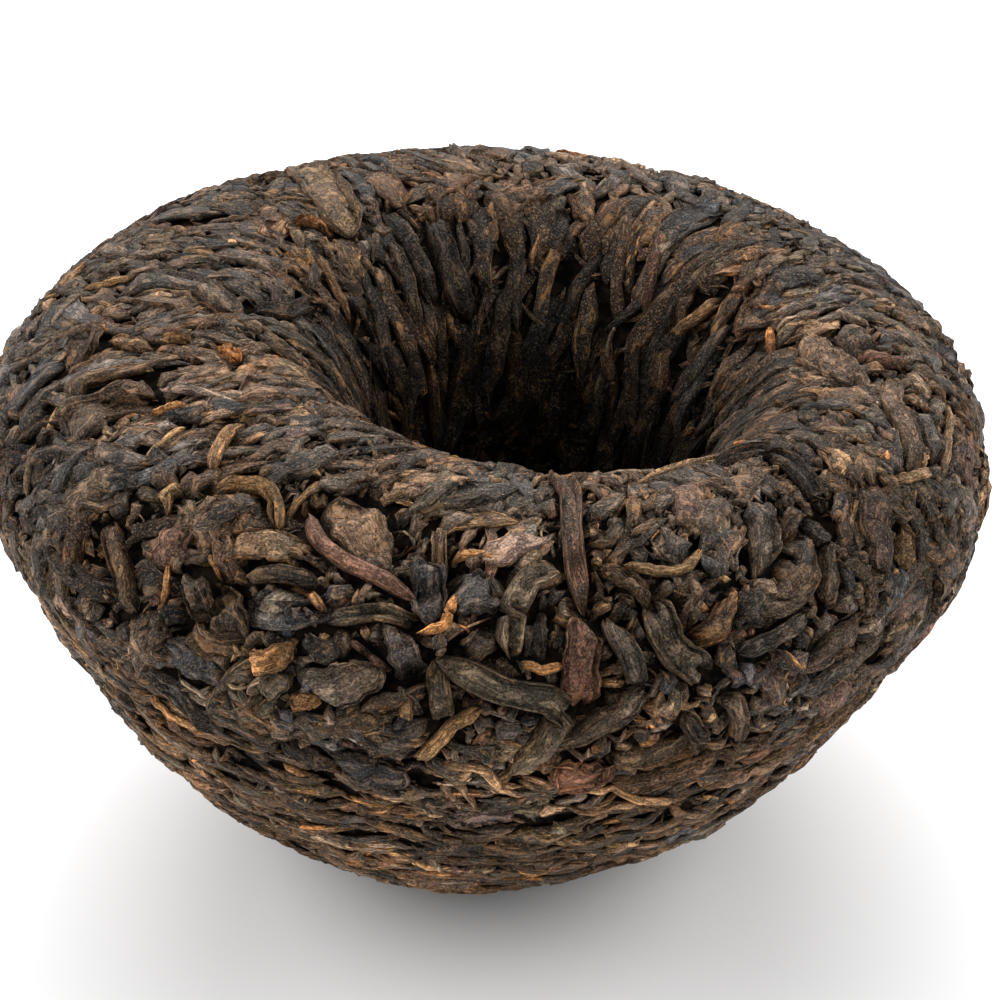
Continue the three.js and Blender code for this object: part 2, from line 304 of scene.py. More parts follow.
def drifting(seed, points, strength):
    """A smooth random field over points, in patches about 12 mm across"""
    draw = np.random.default_rng(seed)
    total = np.zeros(points.shape[:-1])
    for _ in range(DRIFT_WAVES):
        direction = unit(draw.normal(0, 1, 3)) / draw.uniform(*DRIFT_LENGTHS)
        total += np.sin(2 * np.pi * (points @ direction) + draw.uniform(0, 2 * np.pi))
    return total * strength / np.sqrt(DRIFT_WAVES / 2)


def zone_colour(azimuth, level):
    """Factors for a leaf's colour: painted shade darkens it down the hollow's wall, less so on its floor, and
    it is patchy
    """
    point = on_form(azimuth, level)
    shade = np.interp(level, ZONE_LEVELS, ZONE_SHADES) * np.exp(drifting(SEED + 1, point, PATCH_SHADE))
    warmth = np.interp(level, ZONE_LEVELS, ZONE_WARMTHS) + drifting(SEED + 2, point, PATCH_WARMTH)
    for blotch_azimuth, blotch_level, reach, factor, warmer in BLOTCHES:
        away = np.linalg.norm(point - on_form(blotch_azimuth, blotch_level), axis=-1)
        share = np.exp(-(away / reach) ** 2)
        shade = shade * factor ** share
        warmth = warmth + warmer * share
    return shade[..., None] * np.exp(warmth[..., None] * WARMER)


def waves(draw, count, places, periods, strength):
    """Smooth random lines: one for each of count leaves, along places from 0 to 1"""
    total = np.zeros((count, len(places)))
    for period in periods:
        phase = draw.uniform(0, 2 * np.pi, (count, 1))
        pace = draw.uniform(*PACES, (count, 1)) * period
        total += np.sin(phase + 2 * np.pi * pace * places) * draw.uniform(0.4, 1, (count, 1))
    return total * strength / np.sqrt(len(periods))


def smoothed(line, times):
    for _ in range(times):
        line = np.concatenate([[line[0]], (line[:-2] + 2 * line[1:-1] + line[2:]) / 4, [line[-1]]])
    return line


# What a leaf has besides its kind and mesh
LEAF_VALUES = "azimuth level heading length width thick tint rim rim_strength order".split()


def batch(kind, mesh, *values):
    """Leaves as arrays: azimuth, level and heading have a row of stations for each leaf, and the rest
    one value for each. A heading of 0 runs up the profile and 90 round the cake."""
    leaves = dict(zip(LEAF_VALUES, values))
    for key, value in zip(("kind", "rows", "sides"), (kind, *mesh)):
        leaves[key] = np.full(len(leaves["length"]), value)
    return leaves


def walked(azimuth, level, heading, length):
    """Stations of leaves that run both ways from a middle, along a heading for each station"""
    count, stations = heading.shape
    step = length / (stations - 1)
    azimuths = np.repeat(azimuth[:, None], stations, 1)
    levels = np.repeat(level[:, None], stations, 1)
    middle = stations // 2
    for sense in (1, -1):
        here_azimuth, here_level = azimuth.copy(), level.copy()
        last = stations if sense > 0 else -1
        for station in range(middle + sense, last, sense):
            course = np.radians(heading[:, station])
            here_azimuth += sense * step * np.sin(course) / mm_per_degree(here_level)
            here_level += sense * step * np.cos(course) / mm_per_level(here_level)
            here_level = np.clip(here_level, *LEAF_ENDS)
            azimuths[:, station] = here_azimuth
            levels[:, station] = here_level
    return azimuths, levels


def mixed(draw, count, names, shares, spread):
    """Colours drawn from named ones, each leaf a little lighter or darker than its name"""
    shares = np.array(shares, float)
    picks = draw.choice(len(names), count, p=shares / shares.sum())
    colours = np.array([COLOURS[name] for name in names])[picks]
    lighter = np.exp(np.clip(draw.normal(0, 1, (count, 1)), *TINT_LIMITS) * spread)
    warmer = np.exp(draw.normal(0, WARMTH_SPREAD, (count, 1)) * WARMER)
    return colours * lighter * warmer


def sown(draw, kind, count, where, heading, spread, bend, length, width, thick, colours, rims=0.3, mesh=None):
    """Leaves of one kind, spread evenly over the cells that where picks"""
    cells = draw.choice(np.flatnonzero(where), count)
    azimuth = CELL_AZIMUTH[cells] + draw.uniform(-0.5, 0.5, count)
    level = CELL_LEVEL[cells]
    places = np.linspace(0, 1, STATIONS)
    course = heading + draw.normal(0, 1, count) * spread
    swing = draw.normal(0, 1, (count, 1)) * bend * (places - 0.5) * 2
    wander = waves(draw, count, places, [1.1, 2.3], bend * 0.45)
    headings = course[:, None] + swing + wander
    shares = draw.beta(*SIZE_SPREAD, (3, count))
    sizes = [low + (high - low) * share for (low, high), share in zip((length, width, thick), shares)]
    azimuths, levels = walked(azimuth, level, headings, sizes[0])
    tint = mixed(draw, count, *zip(*colours.items()), TINT_SPREAD)
    rim = mixed(draw, count, *RIMS)
    rim_strength = draw.beta(*RIM_STRENGTHS, count) * rims * 2
    order = draw.uniform(0, 1, count) - sizes[0] / LONG_FIRST
    mesh = mesh or KINDS[kind]["mesh"]
    return batch(kind, mesh, azimuths, levels, headings, *sizes, tint, rim, rim_strength, order)


def through(name, width, thick, path, rim_strength=0.16, rim="tan"):
    """One leaf that can be told apart in the photo, along a path of azimuths and levels"""
    colour, kind = name.split()
    azimuth, level = np.array(path, float).reshape(-1, 2).T
    run = np.hypot(np.diff(azimuth) * mm_per_degree(level[1:]), np.diff(level) * mm_per_level(level[1:]))
    reach = np.concatenate([[0], np.cumsum(run)])
    places = np.linspace(0, reach[-1], STATIONS)
    azimuth, level = (smoothed(np.interp(places, reach, values), 6) for values in (azimuth, level))
    east = np.gradient(azimuth) * mm_per_degree(level)
    north = np.gradient(level) * mm_per_level(level)
    heading = np.degrees(np.arctan2(east, north))
    sizes = [reach[-1], width, thick * NAMED_FLATNESS]
    values = [azimuth, level, heading, *sizes, COLOURS[colour], COLOURS[rim], rim_strength, 0.0]
    return batch(kind, NAMED_MESH, *(np.array([value]) for value in values))


def stacked(batches):
    """Several batches as one"""
    return {key: np.concatenate([group[key] for group in batches]) for key in batches[0]}


# Leaves that can be told apart in the photo, the uppermost first: colour and kind, width and thickness in
# mm, azimuths and levels along it, and for some the strength and colour of the rim
TOLD_APART = [
    ("red stem", 1.3, 1.5, (-29, 1.71, -25, 1.62, -19, 1.57, -15, 1.55, -11.5, 1.51)),
    ("orange stem", 0.8, 0.9, (-7, 1.53, -7, 1.41, -9, 1.38)),
    ("olive rolled", 2.0, 1.9, (4, 1.67, 0, 1.61, -0.5, 1.47, 0.5, 1.33), 0.35),
    ("purple rolled", 1.6, 1.4, (0.5, 2.24, 4, 1.81, 6, 1.65, 7.5, 1.49)),
    ("orange stem", 0.7, 0.8, (2, 1.29, 4, 1.26, 6, 1.28)),
    ("gold stem", 1.1, 1.2, (-1.5, 1.07, -4.5, 0.98, -7, 0.92)),
    ("olive rolled", 2.1, 2.0, (-5.5, 1.28, -2, 1.21, 2, 1.14, 6, 1.15, 7, 1.02, 4.5, 0.94, 3, 0.89)),
    ("olive rolled", 2.5, 2.1, (16, 1.51, 17, 1.37, 18.5, 1.27, 22, 1.17), 0.4),
    ("grey rolled", 1.6, 1.6, (11, 1.45, 13, 1.3, 14.5, 1.21, 14, 1.08, 11, 1.0, 7, 0.95)),
    ("slate flat", 2.5, 1.0, (-12, 1.64, -10, 1.53, -8.5, 1.43)),
    ("slate flat", 3.2, 1.1, (-8, 1.56, -5, 1.55, -2.5, 1.55), 0.1),
    ("brown flat", 3.9, 1.0, (-27.5, 1.8, -22.5, 1.72, -16.5, 1.62), 0.5, "pale"),
    ("red flat", 2.8, 1.3, (7.5, 1.45, 8, 1.26, 9, 1.06)),
    ("olive rolled", 1.2, 1.2, (-19, 1.35, -14, 1.43, -9, 1.43), 0.5),
    ("olive rolled", 1.6, 1.5, (-7, 1.28, -5.5, 1.13, -4.5, 0.99), 0.3, "gold"),
    ("slate flat", 2.2, 1.2, (-11, 1.36, -9.5, 1.26, -8.5, 1.17)),
    ("pale flat", 3.1, 1.1, (-17.5, 1.07, -14.5, 1.13, -12.5, 1.21), 0.2),
    ("gold rolled", 1.1, 1.2, (-41.5, 1.64, -39.5, 1.7, -36.5, 1.73, -33.5, 1.7, -30.5, 1.62)),
    ("grey rolled", 2.4, 1.8, (32.5, 1.86, 31, 1.69, 30, 1.53), 0.3),
    ("grey rolled", 1.8, 1.3, (2, 1.5, 2.5, 1.41, 3, 1.31)),
    ("dark rolled", 2.0, 1.6, (-4.5, 1.28, -2.5, 1.38, -1.5, 1.44)),
    ("brown rolled", 1.1, 1.1, (-13, 1.77, -11, 1.68, -9.5, 1.6), 0.4),
    ("red stem", 0.6, 0.7, (-15.5, 1.3, -12, 1.23, -10, 1.16)),
    ("orange flat", 1.8, 0.9, (-24.5, 1.1, -22.5, 1.14, -21, 1.21)),
    ("orange flat", 1.1, 1.0, (-19.8, 0.99, -18, 1.0, -17.4, 1.0)),
    ("olive flat", 1.9, 1.0, (-23.5, 0.98, -22, 1.02, -21, 1.09), 0.6),
    ("dark rolled", 1.3, 1.3, (-29, 1.43, -26, 1.47, -22.5, 1.49)),
    ("orange stem", 0.7, 0.8, (-25, 1.45, -22, 1.44, -19.5, 1.39)),
    ("gold rolled", 1.1, 1.1, (-43.5, 1.5, -45, 1.55, -44, 1.59)),
    ("tan stem", 1.1, 1.1, (-51.5, 1.88, -49, 1.8, -44.5, 1.69)),
    ("gold stem", 0.6, 0.7, (-54.5, 1.75, -53, 1.67, -52, 1.6)),
    ("orange stem", 0.7, 0.8, (-59.5, 1.7, -59.5, 1.8)),
    ("purple rolled", 1.9, 1.3, (-67, 1.6, -66.5, 1.68, -64, 1.74), 0.4),
    ("brown flat", 4.4, 0.9, (-63, 1.46, -65, 1.55, -66, 1.63, -65, 1.75), 0.5, "pale"),
    ("tan flat", 3.6, 0.8, (-149, 1.55, -142, 1.82, -137, 2.0, -133, 2.18), 0.5, "pale"),
    ("orange flat", 0.9, 0.8, (-125.5, 2.01, -127.5, 2.07, -130.5, 2.13)),
    ("grey flat", 2.2, 0.8, (-94, 1.69, -97, 1.79, -95, 1.92, -88, 2.05), 0.6, "pale"),
    ("black rolled", 1.4, 1.0, (-89, 2.13, -94.5, 2.24, -105, 2.3)),
    ("tan stem", 0.9, 0.8, (-121, 2.19, -116.5, 2.33, -115, 2.43)),
    ("black rolled", 2.2, 1.2, (-154.5, 2.22, -154.5, 2.4, -157, 2.55)),
    ("black rolled", 1.8, 1.1, (-145.5, 2.14, -146, 2.3, -147, 2.47)),
    ("brown flat", 2.8, 0.8, (97, 2.25, 86.5, 2.18, 76, 2.05), 0.4, "pale"),
    ("tan flat", 1.1, 0.8, (-80.5, 1.69, -78, 1.74, -75.5, 1.8)),
    ("tan flat", 0.8, 0.7, (-78, 1.83, -76.5, 1.9)),
    ("orange flat", 1.1, 0.8, (-74, 1.98, -69.5, 2.01)),
    ("gold stem", 0.8, 0.7, (-98, 1.55, -97.5, 1.63, -99, 1.69)),
    ("tan stem", 0.6, 0.7, (-66, 1.33, -63, 1.26, -60.5, 1.18)),
    ("tan stem", 0.6, 0.7, (-38, 0.88, -35, 0.86, -32, 0.86)),
    ("brown rolled", 1.6, 1.3, (-47.5, 1.35, -42, 1.23, -39, 1.09), 0.5),
    ("dark rolled", 1.9, 1.3, (-35, 1.35, -33, 1.3, -31, 1.23)),
    ("dark flat", 2.7, 1.2, (-31.5, 1.32, -29, 1.27, -26.5, 1.2)),
    ("brown rolled", 1.8, 1.2, (-32.5, 1.17, -29.5, 1.11, -26.5, 1.11), 0.6),
    ("slate flat", 2.5, 1.0, (-34, 1.0, -31, 1.0, -27.5, 1.0)),
    ("gold stem", 0.9, 1.0, (12, 1.67, 16, 1.63, 19.5, 1.62, 22, 1.7)),
    ("brown rolled", 1.2, 1.1, (9, 1.66, 12.5, 1.6, 15, 1.52)),
    ("brown rolled", 1.8, 1.3, (25, 1.5, 23, 1.36, 20, 1.32), 0.8, "orange"),
    ("dark rolled", 1.0, 1.2, (7, 1.78, 9.5, 1.77, 10.5, 1.83, 9.5, 1.89)),
    ("purple rolled", 1.3, 1.4, (34.5, 1.66, 36, 1.71, 37.5, 1.76)),
    ("dark rolled", 1.3, 1.4, (38.5, 1.69, 39.5, 1.55, 38, 1.31)),
    ("red flat", 1.2, 1.0, (40.5, 1.67, 41, 1.56, 42, 1.46)),
    ("purple flat", 2.8, 1.0, (52, 1.7, 48.5, 1.53, 47.5, 1.35)),
    ("gold flat", 1.8, 1.0, (53.5, 1.44, 52.5, 1.36, 51.5, 1.28)),
    ("brown rolled", 1.8, 1.6, (81.5, 1.91, 71, 1.88, 67.5, 1.73, 62, 1.63)),
    ("tan stem", 0.7, 0.9, (82, 1.58, 71.5, 1.52, 67, 1.46)),
    ("tan stem", 1.0, 1.1, (57, 1.64, 60.5, 1.59, 65.5, 1.53)),
    ("red stem", 1.4, 1.3, (87.5, 2.05, 86.5, 1.95, 86, 1.83)),
    ("dark flat", 2.8, 1.4, (97.5, 2.08, 93, 2.06, 86.5, 2.04)),
    ("grey rolled", 1.8, 1.3, (74, 1.74, 70.5, 1.64, 68.5, 1.53)),
    ("tan stem", 1.1, 1.2, (129.5, 2.34, 132, 2.43, 136.5, 2.51)),
    ("orange stem", 0.8, 0.9, (110, 2.31, 101.5, 2.35)),
    ("red flat", 2.9, 0.9, (7, 0.91, 9.5, 0.9, 12.5, 0.91)),
    ("olive rolled", 1.9, 1.4, (12.5, 0.93, 16.5, 0.93, 20, 0.95), 0.4),
    ("brown rolled", 1.7, 1.3, (14, 0.86, 20, 0.87, 26.5, 0.88)),
    ("slate rolled", 1.5, 1.2, (-21, 0.9, -18.5, 0.89, -16.5, 0.87)),
    ("slate flat", 2.9, 1.0, (-16, 0.89, -12.5, 0.89, -9.5, 0.89)),
    ("gold stem", 0.6, 0.6, (-21.5, 0.85, -19, 0.84)),
    ("tan stem", 0.8, 0.9, (-4.5, 0.92, -0.5, 0.92, 1.5, 0.87)),
    ("tan stem", 0.7, 0.7, (10, 0.87, 16, 0.83, 23, 0.78)),
    ("dark rolled", 1.5, 1.4, (33.5, 2.2, 43, 2.17, 42.5, 1.93, 42.5, 1.71)),
    ("tan rolled", 0.7, 0.9, (14.5, 2.11, 29, 2.28, 43, 2.33)),
    ("grey rolled", 1.3, 1.2, (26, 1.23, 30, 1.25, 34.5, 1.3)),
    ("grey rolled", 1.2, 1.0, (34.5, 0.97, 39.5, 0.99, 47, 1.01)),
    ("brown rolled", 1.1, 1.0, (34.5, 0.81, 42.5, 0.85, 50.5, 0.88), 0.5),
    ("brown flat", 2.5, 1.0, (35.5, 1.1, 39, 1.12, 42.5, 1.13)),
    ("dark rolled", 1.5, 1.3, (20, 0.99, 21.5, 0.96, 22.5, 0.92)),
    ("brown rolled", 1.4, 1.2, (24, 1.04, 26.5, 0.97, 28, 0.91), 0.4),
]


def between(low, high, near=-1, far=181):
    """The cells between two levels, and between two azimuths on either side of the front"""
    turned = np.abs(CELL_AZIMUTH)
    return (CELL_LEVEL > low) & (CELL_LEVEL < high) & (turned > near) & (turned < far)


DOME = between(-1, 1.0)
FRONT = between(0.93, 1.7, far=68)
FLANK = between(0.93, 1.65, near=62)
CREST = between(1.6, 2.3)
WALL = between(2.2, 3.2)
PIT = between(3.0, 4)
LIP = between(1.65, 2.2, far=45)

# Shares of the colours in a mix, and the mesh of small leaves
DARK = {"black": 5, "dark": 5, "slate": 4, "grey": 3}
BROWN = {
    "brown": 8, "dark": 2, "grey": 2.4, "olive": 1.8, "purple": 2.2, "red": 0.7, "pale": 1.4, "tan": 0.25,
}
MIXED = {"dark": 4, "brown": 7, "grey": 2, "black": 3, "pale": 2, "olive": 1.6, "red": 0.5, "tan": 0.6}
LIGHT = {"tan": 4, "gold": 3, "orange": 2, "pale": 3}
REDDISH = {"red": 3, "purple": 4}
BLACK = {"black": 8, "dark": 4, "slate": 2}
SMALL = (10, 8)

# The rest, zone by zone: on the dome they are pressed round it, on the shoulder they lie anyhow, and over
# the crest they are drawn down into the hollow. Kind, count, zone, heading, its spread and bend, ranges of
# length, width and thickness, colours, and for some the strength of the rims and the mesh
SOWN = [
    ("rolled", 800, FRONT, 60, 90, 30, (4, 14), (1.2, 3.0), (0.5, 1.1), DARK, 0.4),
    ("rolled", 700, FRONT, 60, 90, 30, (4, 12), (1.0, 2.6), (0.5, 1.0), BROWN, 0.8),
    ("flat", 500, FRONT, 50, 90, 14, (3.5, 9), (1.8, 4.0), (0.35, 0.7), BROWN, 0.6),
    ("flat", 400, FRONT, 50, 90, 14, (3.5, 8), (1.8, 3.6), (0.35, 0.7), DARK, 0.4),
    ("flat", 100, FRONT, 50, 90, 14, (3.5, 7), (2.0, 3.6), (0.4, 0.8), REDDISH),
    ("chip", 1500, FRONT, 50, 90, 14, (1.6, 4.2), (0.9, 2.2), (0.45, 0.9), BROWN, 0.5),
    ("chip", 1300, FRONT, 50, 90, 14, (1.3, 3.4), (0.7, 1.8), (0.4, 0.8), DARK, 0.4),
    ("chip", 1200, FRONT, 50, 90, 14, (0.9, 2.2), (0.5, 1.1), (0.3, 0.7), BROWN, 0.6),
    ("stem", 160, FRONT, 60, 90, 25, (2.0, 6), (0.35, 1.0), (0.5, 1.0), LIGHT),
    ("rolled", 220, FLANK, 85, 50, 24, (4, 11), (0.9, 2.1), (0.8, 1.5), DARK, 0.3, SMALL),
    ("rolled", 260, FLANK, 85, 50, 24, (4, 10), (0.8, 2.0), (0.8, 1.4), BROWN, 0.5, SMALL),
    ("drawn", 360, FLANK, 85, 40, 20, (4, 11), (0.9, 2.2), (0.5, 1.0), DARK, 0.4),
    ("drawn", 460, FLANK, 85, 40, 20, (4, 10), (0.8, 2.0), (0.5, 0.9), BROWN, 0.5),
    ("flat", 260, FLANK, 85, 60, 12, (3, 7), (1.6, 3.2), (0.5, 0.9), BROWN, 0.4),
    ("chip", 1900, FLANK, 85, 70, 12, (1.2, 3.4), (0.7, 1.9), (0.3, 0.7), BROWN, 0.5),
    ("stem", 180, FLANK, 80, 40, 18, (2, 7), (0.35, 0.9), (0.5, 0.9), LIGHT),
    ("rolled", 70, CREST, 6, 28, 22, (4, 11), (1.0, 2.0), (0.6, 1.0), DARK, 0.3, SMALL),
    ("rolled", 90, CREST, 6, 28, 22, (4, 10), (0.9, 1.9), (0.5, 0.9), BROWN, 0.5, SMALL),
    ("drawn", 900, CREST, 6, 24, 16, (4, 12), (0.9, 2.8), (0.28, 0.6), DARK, 0.4),
    ("drawn", 1300, CREST, 6, 24, 16, (4, 11), (0.8, 2.6), (0.28, 0.6), BROWN, 0.6),
    ("flat", 320, CREST, 10, 34, 10, (3, 8), (1.8, 3.8), (0.3, 0.55), BROWN, 0.5),
    ("flat", 160, CREST, 10, 34, 10, (3, 7), (1.8, 3.4), (0.3, 0.55), DARK, 0.4),
    ("chip", 3000, CREST, 6, 34, 12, (1.4, 5.0), (0.5, 1.8), (0.22, 0.45), BROWN, 0.6),
    ("stem", 320, CREST, 10, 40, 18, (1.6, 6), (0.3, 0.8), (0.35, 0.7), LIGHT),
    ("drawn", 520, WALL, 4, 12, 9, (6, 17), (0.9, 2.6), (0.5, 1.0), BLACK, 0.3),
    ("drawn", 460, WALL, 4, 12, 9, (6, 16), (0.8, 2.2), (0.5, 0.9), BROWN, 0.5),
    ("stem", 80, WALL, 4, 25, 12, (2, 5), (0.4, 0.8), (0.4, 0.8), LIGHT),
    ("drawn", 220, PIT, 30, 70, 20, (4, 9), (1.0, 2.0), (0.5, 1.0), DARK, 0.2),
    ("streak", 6400, DOME, 90, 14, 12, (2, 8), (0.5, 1.7), (0.28, 0.55), MIXED, 0.6),
    ("chip", 1300, DOME, 90, 40, 10, (1.0, 2.8), (0.6, 1.6), (0.22, 0.45), MIXED, 0.6),
    ("flat", 300, DOME, 90, 18, 10, (4, 8), (1.6, 3.0), (0.3, 0.5), BROWN, 0.5),
    ("stem", 700, DOME, 90, 16, 12, (1.5, 6), (0.25, 0.7), (0.25, 0.5), LIGHT),
    ("shred", 2600, DOME, 90, 30, 10, (1.0, 4), (0.3, 0.9), (0.18, 0.35), MIXED, 0.8),
    ("shred", 3000, FRONT | FLANK, 60, 90, 30, (0.8, 2.6), (0.4, 1.2), (0.25, 0.6), BROWN, 0.6),
    ("shred", 2600, CREST | WALL, 10, 50, 20, (0.9, 3.0), (0.3, 1.0), (0.2, 0.45), BROWN, 0.7),
    ("shred", 1100, LIP, 30, 90, 35, (0.7, 2.2), (0.3, 0.9), (0.2, 0.5), BROWN, 0.8),
    ("stem", 260, LIP | FRONT, 40, 90, 40, (1.5, 5), (0.15, 0.32), (0.15, 0.3), LIGHT),
    ("chip", 420, FRONT | FLANK | CREST, 60, 90, 10, (0.7, 2.0), (0.45, 1.1), (0.3, 0.6), LIGHT, 0.3),
    ("shred", 700, DOME, 90, 40, 10, (0.7, 1.8), (0.35, 0.8), (0.2, 0.4), LIGHT, 0.3),
]


def laid(draw, named, others):
    """Lays the named leaves at the top and fills in the others under and between them.
    Returns all leaves that show, with the height of their tops above the form, and the height map."""
    across = np.linspace(-1, 1, ACROSS)
    crown = np.sqrt(1 - CROWN * across ** 2)
    ends = np.abs(np.linspace(-1, 1, STATIONS)) ** 4
    bed = -np.interp(CELL_LEVEL, BED_LEVELS, BED_DEPTHS)
    height = bed + draw.uniform(-BED_UNEVENNESS, BED_UNEVENNESS, len(bed))
    lid = np.full(len(bed), NO_LID)

    def footprint(leaves):
        course = np.radians(leaves["heading"])[:, :, None]
        off = across * leaves["width"][:, None, None] / 2 * FOOTPRINT
        return cell_beside(leaves["azimuth"][:, :, None], leaves["level"][:, :, None], course, off)

    def top_across(top, thick):
        return top[:, None] - thick / 2 * (1 - crown)

    named_cells = footprint(named)
    tops = []
    for cells, thick in zip(named_cells, named["thick"]):
        top = smoothed(np.minimum(NAMED_TOP, lid[cells].min(1)), 8) - END_DIP * thick * ends
        lid[cells] = np.minimum(lid[cells], (top - NAMED_CLEAR * thick)[:, None])
        tops.append(top)

    sown_cells = footprint(others)
    middle = others["level"][:, STATIONS // 2]
    unevenness = np.interp(middle, TOP_LEVELS, TOP_UNEVENNESS)
    limits = np.minimum(draw.normal(TOP_MEAN, 1, len(middle)) * unevenness, HIGHEST_TOP)
    rise = np.interp(middle, LITTER_LEVELS, LITTER_RISES)
    limits = limits + rise * np.isin(others["kind"], ["chip", "shred"])
    sown_tops = np.zeros_like(others["level"])
    kept = []
    for leaf in np.argsort(others["order"]):
        cells, thick = sown_cells[leaf], others["thick"][leaf]
        ground = height[cells]
        limit = np.minimum(lid[cells].min(1), limits[leaf])
        base = smoothed((ground.mean(1) + ground.max(1)) / 2, 6) - SINK
        room = limit - base
        if room.mean() < LEAST_ROOM * thick:
            continue
        top = smoothed(np.minimum(base + thick, limit), 3) - END_DIP * thick * ends
        height[cells] = np.maximum(ground, top_across(top, thick))
        sown_tops[leaf] = top
        kept.append(leaf)

    for cells, thick, top in zip(named_cells, named["thick"], tops):
        height[cells] = np.maximum(height[cells], top_across(top, thick))

    kept = np.array(kept)
    surface = sown_tops[kept][:, :, None] - others["thick"][kept][:, None, None] / 2 * (1 - crown)
    shown = (height[sown_cells[kept]] <= surface + SHOWN_MARGIN).mean((1, 2))
    kept = kept[shown > LEAST_SHOWN]
    showing = {key: value[kept] for key, value in others.items()}
    showing["top"] = sown_tops[kept]
    named["top"] = np.array(tops)
    print("laid", len(sown_tops), "kept", len(kept), "named", len(tops))
    return named, showing, height


def along_leaves(values, places):
    """The leaves' stations read at other places from 0 to 1"""
    position = places * (STATIONS - 1)
    low = np.minimum(position.astype(int), STATIONS - 2)
    share = position - low
    return values[:, low] * (1 - share) + values[:, low + 1] * share


